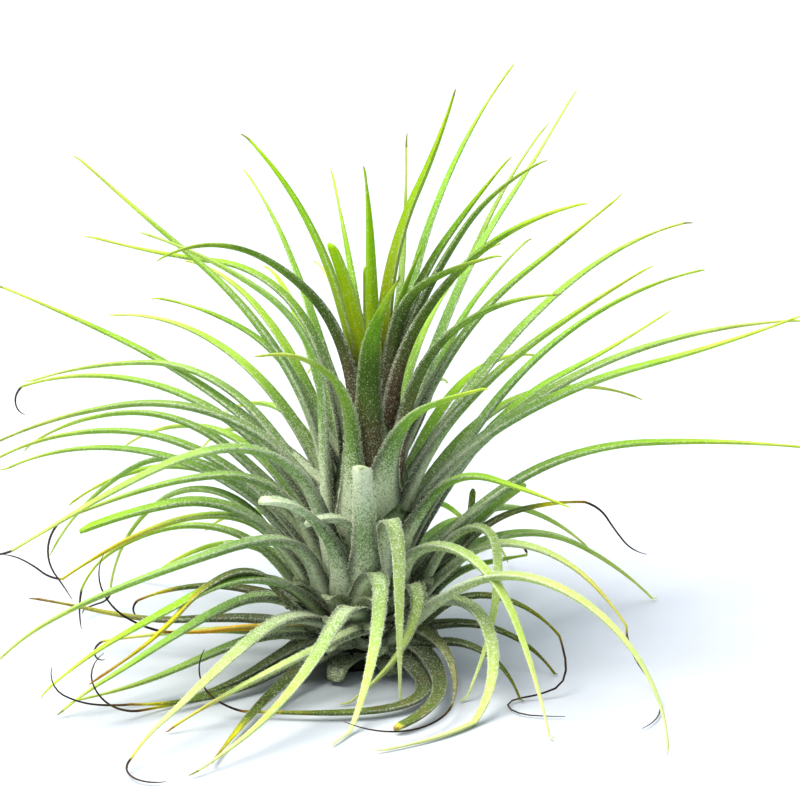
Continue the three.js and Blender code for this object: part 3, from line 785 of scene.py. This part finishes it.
YELLOW = colour("ccc61e")
WITHERED = colour("a07a2c")
FIBRE_GREEN = colour("38451c")
PATCH_BROWN = colour("7a5a30")
DEAD_BROWN = colour("4a3524")
PAINTED_ROOT_SHADE = colour("161c0c")  # painted shade at the bottom of the leaf roots, where the leaves' bases overlap


def flesh_group():
    """The colour of a leaf's flesh from its root to its tip, streaked lengthwise, with a mask that
    is low where painted shade darkens the sheath and the rims near the root.
    """
    tree, n, given, made = new_group(
        "leaf flesh",
        dict.fromkeys(("Root", "Middle", "Outer", "Tip", "Dry"), "Color")
        | dict.fromkeys(("Middle At", "Outer At", "Streaks", "Crowding"), "Float"),
        {"Color": "Color", "Height": "Float", "Unshaded": "Float"},
    )
    place = n.parts(n.attribute("place", "Vector"))
    across, from_root, share = place["X"], place["Y"], place["Z"]
    tone = n.attribute("tone")
    wander = n.times(n.maths("SUBTRACT", n.noise("wander", n.here()), 0.5), WANDER)
    moved = n.maths("ADD", share, wander)
    out = n.ease(moved, ROOT_COLOUR_TO, given["Middle At"])
    shade = n.mix(out, given["Root"], given["Middle"])
    shade = n.mix(n.ease(moved, given["Middle At"], given["Outer At"]), shade, given["Outer"])
    shade = n.mix(n.ease(moved, given["Outer At"], TIP_COLOUR_FROM), shade, given["Tip"])
    yellow = n.maths("ADD", n.attribute("yellow"), wander)
    shade = n.mix(n.ease(yellow, *YELLOWING), shade, YELLOW)
    shade = n.mix(n.ease(yellow, *BROWNING), shade, WITHERED)
    fibres = n.add("ShaderNodeCombineXYZ")
    n.feed(
        fibres,
        X=n.times(across, FIBRES_ACROSS),
        Y=n.times(from_root, FIBRES_ALONG),
        Z=n.times(tone, FIBRES_APART),
    )
    streak = n.noise("fibres", fibres.outputs[0])
    shade = n.mix(n.times(n.ease(streak, *DARK_FIBRES), given["Streaks"]), shade, FIBRE_GREEN)
    varied = n.add("ShaderNodeHueSaturation")
    # Multiples of the tone give each leaf two more values from 0 to 1.
    n.feed(
        varied,
        Hue=n.ease(tone, 0, 1, *HUES),
        Saturation=n.ease(n.maths("FRACT", n.times(tone, 7)), 0, 1, *SATURATIONS),
        Value=n.ease(n.maths("FRACT", n.times(tone, 13)), 0, 1, *BRIGHTNESSES),
        Color=shade,
    )
    dry = n.times(n.ease(share, *DRYING), n.attribute("ash"))
    n.put(made["Color"], n.mix(dry, varied.outputs[0], given["Dry"]))
    n.put(made["Height"], streak)
    rim = n.ease(n.attribute("edge"), *SHADED_RIM, 0, given["Crowding"])
    painted_rim_shade = n.times(rim, n.ease(from_root, *SHADED_ROOT))
    n.put(made["Unshaded"], n.times(n.ease(from_root, *SHADED_SHEATH), n.rest(painted_rim_shade)))
    return tree


# The coat of scales: where along the blade it fades, where the rims start and how much more
# they carry, how a noise in four numbers thickens and thins it in clumps, and how large a
# noise has to be for a fleck to show where the coat is thin and where it is full.
COAT_FADES = 0.45, 0.95
COAT_RIM = 0.72, 1.0
RIM_COVER = 0.42
CLUMPING = 0.36, 0.64, 0.75, 1.1
FLECK_CUTS = 0.64, 0.4
FLECK_EDGE = 0.05
FILM_COVER = 0.36
FLECK_COVER = 0.58
COAT_ENDS = 1.0, 0.98


def scale_group():
    """The coat of white scales: thick at the root, thin at the tip and thicker on the rims."""
    tree, n, given, made = new_group(
        "white scales",
        dict.fromkeys(("Root Cover", "Middle Cover", "Tip Cover"), "Float"),
        {"Cover": "Float", "Height": "Float"},
    )
    share = n.parts(n.attribute("place", "Vector"))["Z"]
    here = n.here()
    cover = n.ease(share, 0.0, COAT_FADES[0], given["Root Cover"], given["Middle Cover"])
    fade = n.ease(share, *COAT_FADES)
    cover = n.maths("ADD", n.times(cover, n.rest(fade)), n.times(given["Tip Cover"], fade))
    rim = n.times(n.ease(n.attribute("edge"), *COAT_RIM), RIM_COVER)
    cover = n.maths("ADD", cover, n.times(rim, n.rest(fade)))
    clumped = n.times(cover, n.ease(n.noise("clumps", here), *CLUMPING))
    flecks = n.noise("flecks", here)
    cut = n.ease(clumped, 0, 1, *FLECK_CUTS)
    lower, upper = n.maths("SUBTRACT", cut, FLECK_EDGE), n.maths("ADD", cut, FLECK_EDGE)
    shown = n.times(n.ease(flecks, lower, upper), FLECK_COVER)
    full = n.maths("ADD", n.times(clumped, FILM_COVER), shown, clamp=True)
    n.put(made["Cover"], n.times(full, n.ease(share, *COAT_ENDS)))
    n.put(made["Height"], flecks)
    return tree


DYING_FROM = 0.5, 0.68
SPECKS_FROM = 0.58, 0.66


def blotch_group():
    """Brown dying patches and dark specks, for old leaves."""
    tree, n, given, made = new_group(
        "dying patches",
        {"Patches": "Float", "Specks": "Float"},
        {"Patch": "Float", "Speck": "Float"},
    )
    here = n.here()
    patch = n.ease(n.noise("dying", here), *DYING_FROM)
    n.put(made["Patch"], n.times(patch, given["Patches"]))
    speck = n.ease(n.noise("specks", here), *SPECKS_FROM)
    n.put(made["Speck"], n.times(speck, given["Specks"]))
    return tree


def blank_material(name):
    material = bpy.data.materials.new(name)
    material.use_nodes = True
    material.node_tree.nodes.clear()
    n = Nodes(material.node_tree)
    shader = n.add("ShaderNodeBsdfPrincipled")
    output = n.add("ShaderNodeOutputMaterial")
    n.put(output.inputs["Surface"], shader.outputs[0])
    return material, n, shader


SCALE_WHITE = colour("e4ecd2")
SCALES_HIDE = 0.85  # how much of the flesh a full coat hides
SCALE_ROUGHNESS = 0.85
SHEEN = 0.15  # of the thickly coated leaves
THICK_COAT = 0.4  # cover at the root, from which a leaf has its sheen
FIBRE_HEIGHT = 0.6  # of the scales' height

# The flesh of each kind of leaf, and of one dead leaf, at its root, middle, outer part and
# tip, its dry end, where middle and outer lie, how streaked it is, the cover of white scales
# at root, middle and tip, dying patches and specks, roughness, and how much light passes in.
FINISHES = {
    "heart": (
        ("6a6c14", "8ea604", "92c004", "acd02a"), "6d5a48", (0.3, 0.7), 0.15,
        (0.05, 0.02, 0.0), (0.0, 0.0), 0.4, 0.1,
    ),
    "upper": (
        ("5c3020", "4c6a04", "76a406", "b0d038"), "5c4a44", (0.42, 0.72), 0.3,
        (0.3, 0.08, 0.0), (0.0, 0.0), 0.55, 0.05,
    ),
    "silver": (
        ("6c8640", "5e8c10", "90c028", "c2da58"), "4a403a", (0.32, 0.64), 0.25,
        (0.9, 0.2, 0.03), (0.0, 0.0), 0.7, 0.06,
    ),
    # The back leaves' middle, outer part and tip are paler than the silver leaves': painted light,
    # for the overexposed look of the leaves furthest back.
    "back": (
        ("6c8640", "669414", "9cca34", "cfe468"), "4a403a", (0.3, 0.6), 0.25,
        (0.8, 0.1, 0.0), (0.0, 0.0), 0.7, 0.06,
    ),
    "drooping": (
        ("768e54", "7ea034", "b0ce50", "dae694"), "4a3c32", (0.28, 0.62), 0.2,
        (0.9, 0.4, 0.22), (0.0, 0.0), 0.7, 0.08,
    ),
    "stub": (
        ("5c7640", "587830", "6c9044", "c0cfa0"), "6b5a3a", (0.4, 0.9), 0.2,
        (0.85, 0.4, 0.9), (0.0, 0.0), 0.7, 0.08,
    ),
    "old": (
        ("424c2c", "46580c", "5e740c", "84841c"), "332a24", (0.4, 0.75), 0.4,
        (0.5, 0.16, 0.0), (0.4, 0.3), 0.65, 0.03,
    ),
    "dry": (
        ("b8962a", "ecc81c", "e0b41c", "94661c"), "33281f", (0.35, 0.75), 0.2,
        (0.1, 0.05, 0.0), (0.1, 0.1), 0.7, 0.05,
    ),
    "dry_leaf_1": (
        ("565f28", "7a7f40", "8b8b56", "857a5c"), "33281f", (0.35, 0.75), 0.5,
        (0.4, 0.3, 0.2), (0.3, 1.0), 0.7, 0.05,
    ),
    "base": (
        ("3f4a2c", "5c6a44", "78865c", "7c8258"), "33281f", (0.35, 0.75), 0.4,
        (0.6, 0.5, 0.3), (0.0, 0.0), 0.8, 0.03,
    ),
}


# Drooping leaves as green as the silver leaves above them.
GREENER = "drooping_leaf_7", "drooping_leaf_8", "drooping_leaves_2"


def leaf_material(finish, groups):
    flesh_tree, scale_tree, blotch_tree = groups
    codes, dry, (middle_at, outer_at), streaks, cover, dying, rough, glow = FINISHES[finish]
    material, n, shader = blank_material(f"{finish} flesh")
    root, middle, outer, tip = (colour(code) for code in codes)
    # The root's cover of scales also sets how dark the painted shade on the rims near the root is.
    flesh = n.group(
        flesh_tree, Root=root, Middle=middle, Outer=outer, Tip=tip, Dry=colour(dry),
        Middle_At=middle_at, Outer_At=outer_at, Streaks=streaks, Crowding=cover[0],
    )
    scales = n.group(scale_tree, Root_Cover=cover[0], Middle_Cover=cover[1], Tip_Cover=cover[2])
    blotch = n.group(blotch_tree, Patches=dying[0], Specks=dying[1])
    shade = n.mix(blotch["Patch"], flesh["Color"], PATCH_BROWN)
    shade = n.mix(blotch["Speck"], shade, DEAD_BROWN)
    shade = n.mix(n.times(scales["Cover"], SCALES_HIDE), shade, SCALE_WHITE)
    # Painted shade: the sheath and the rims near the root go dark, as if shaded by the leaves round
    # them.
    shade = n.mix(flesh["Unshaded"], PAINTED_ROOT_SHADE, shade)
    height = n.maths("ADD", scales["Height"], n.times(flesh["Height"], FIBRE_HEIGHT))
    n.feed(
        shader,
        Base_Color=shade,
        Roughness=n.ease(scales["Cover"], 0, 1, rough, SCALE_ROUGHNESS),
        Specular_IOR_Level=0.12,
        Sheen_Weight=SHEEN if cover[0] > THICK_COAT else 0,
        Sheen_Roughness=0.4,
        Sheen_Tint=colour("eef6dc"),
        Normal=n.bump(height, strength=0.5, distance=0.12 * MM),
        Subsurface_Weight=glow,
        Subsurface_Scale=0.8 * MM,
        Subsurface_Radius=(1.0, 0.9, 0.35),
    )
    return material


EVENLY_SPLIT = 0.35, 0.65  # of a noise that goes from one colour to another
HAIR_WHITE, HAIR_GREEN, HAIR_CREAM = colour("eef3e0"), colour("cddaac"), colour("dbe7c0")
HAIR_GREENING = 0.6
HAIR_CREAMING = 0.3


def hair_material():
    """White hairs, tinted in patches and more on some leaves than on others."""
    material, n, shader = blank_material("white hair")
    part = n.ease(n.noise("hair", n.here()), *EVENLY_SPLIT)
    pale = n.mix(n.times(part, HAIR_GREENING), HAIR_WHITE, HAIR_GREEN)
    shade = n.mix(n.times(n.attribute("tone"), HAIR_CREAMING), pale, HAIR_CREAM)
    n.feed(shader, Base_Color=shade, Roughness=0.6)
    return material


BARK_CRACKS = 0.55, 0.35
BARK_ENDS = 8 * MM, 16 * MM  # up the stem


def stem_material():
    """Bark at the foot, its own dark brown made nearly black as painted shade under the plant, and
    above it the grey green of the leaf sheaths round the stem.
    """
    material, n, shader = blank_material("ringed stem")
    here = n.here()
    rough_skin = n.noise("bark", here)
    patches = n.ease(n.noise("bark patches", here), *EVENLY_SPLIT)
    # The bark's near-black is partly the old stem's own brown and partly painted shade under the
    # rosette.
    bark = n.mix(patches, colour("24200f"), colour("33321f"))
    bark = n.mix(n.ease(rough_skin, *BARK_CRACKS), bark, colour("1f1b12"))
    sheath = n.mix(n.ease(rough_skin, *EVENLY_SPLIT), colour("46552c"), colour("8c9c78"))
    shade = n.mix(n.ease(n.parts(here)["Z"], *BARK_ENDS), bark, sheath)
    normal = n.bump(rough_skin, strength=0.6, distance=0.3 * MM)
    n.feed(shader, Base_Color=shade, Roughness=0.85, Normal=normal)
    return material


# The room

FLOOR_SIZE = 6.0
FLOOR_SPLIT = 0.3, 0.7  # of a noise that goes from one grey to another


def floor_material():
    material, n, shader = blank_material("pale floor")
    faint = n.ease(n.noise("floor", n.here()), *FLOOR_SPLIT)
    shade = n.mix(faint, colour("c5cad2"), colour("c8cdd4"))
    n.feed(shader, Base_Color=shade, Roughness=0.6)
    return material


def make_floor():
    bm = bmesh.new()
    bmesh.ops.create_grid(bm, x_segments=1, y_segments=1, size=FLOOR_SIZE / 2)
    mesh = bpy.data.meshes.new("floor")
    bm.to_mesh(mesh)
    bm.free()
    mesh.materials.append(floor_material())
    floor = bpy.data.objects.new("floor", mesh)
    bpy.context.scene.collection.objects.link(floor)
    floor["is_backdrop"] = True


def aim(thing, place, target):
    """Puts a camera or a light in its place, turned to a target."""
    thing.location = place
    thing.rotation_mode = "QUATERNION"
    thing.rotation_quaternion = (Vector(target) - Vector(place)).to_track_quat("-Z", "Y")


CAMERA_TARGET = Vector((7.2, 0, 44.84)) * MM
CAMERA_DISTANCE = 0.52
CAMERA_ELEVATION = 17
CAMERA_LENS = 146.25  # millimetres, as the sensor's width
SENSOR_WIDTH = 36
CAMERA_SEES = 0.01, 20


def make_camera():
    data = bpy.data.cameras.new("camera")
    data.lens = CAMERA_LENS
    data.sensor_width = SENSOR_WIDTH
    data.clip_start, data.clip_end = CAMERA_SEES
    camera = bpy.data.objects.new("camera", data)
    bpy.context.scene.collection.objects.link(camera)
    tilt = math.radians(CAMERA_ELEVATION)
    back = Vector((0, -math.cos(tilt), math.sin(tilt)))
    aim(camera, CAMERA_TARGET + back * CAMERA_DISTANCE, CAMERA_TARGET)
    bpy.context.scene.camera = camera


SUN_FROM = (-0.45, -0.2, 0.85)
SUN_STRENGTH = 3.5
SUN_SPREAD = 40  # degrees of the sky that it fills
# The pale room's light, from level to straight above, and where between them it changes.
ROOM_LEVEL = 0.14
ROOM_ABOVE = 1.25
ROOM_CHANGES = 0.1, 0.9


def make_lights():
    data = bpy.data.lights.new("window", "SUN")
    data.angle, data.energy = math.radians(SUN_SPREAD), SUN_STRENGTH
    data.color = colour("fffaf2")[:3]
    light = bpy.data.objects.new("window", data)
    bpy.context.scene.collection.objects.link(light)
    aim(light, SUN_FROM, (0, 0, 0))
    world = bpy.data.worlds.new("pale room")
    world.use_nodes = True
    n = Nodes(world.node_tree)
    height = n.parts(n.add("ShaderNodeTexCoord").outputs["Generated"])["Z"]
    n.feed(
        world.node_tree.nodes["Background"],
        Color=colour("f0f5ff"),
        Strength=n.ease(height, *ROOM_CHANGES, ROOM_LEVEL, ROOM_ABOVE),
    )
    bpy.context.scene.world = world


def make_plant():
    """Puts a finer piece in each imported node's place, and adds the hairs and old leaf bases."""
    groups = flesh_group(), scale_group(), blotch_group()
    materials = {finish: leaf_material(finish, groups) for finish in FINISHES}
    for node in GREENER:
        materials[node] = materials["silver"]
    leaves = all_leaves()
    for node in dict.fromkeys(leaf.node for leaf in leaves):
        own = [leaf for leaf in leaves if leaf.node == node]
        material = materials.get(node, materials[own[0].kind])
        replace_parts(leaf_piece(f"{node}_blade", own, material), node)
    white = hair_material()
    for kind in HAIRS:
        make_hairs(kind, [leaf for leaf in leaves if leaf.kind == kind], white)
    make_leaf_bases(materials["base"])
    make_stem(stem_material())


make_camera()
make_plant()
make_floor()
make_lights()
bpy.context.scene.view_settings.view_transform = "Standard"
bpy.context.scene.view_settings.look = "Medium High Contrast"

boxes = {"cad": CAD_BOX, "visual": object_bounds()}
{name: [list(corner) for corner in box] for name, box in boxes.items()}
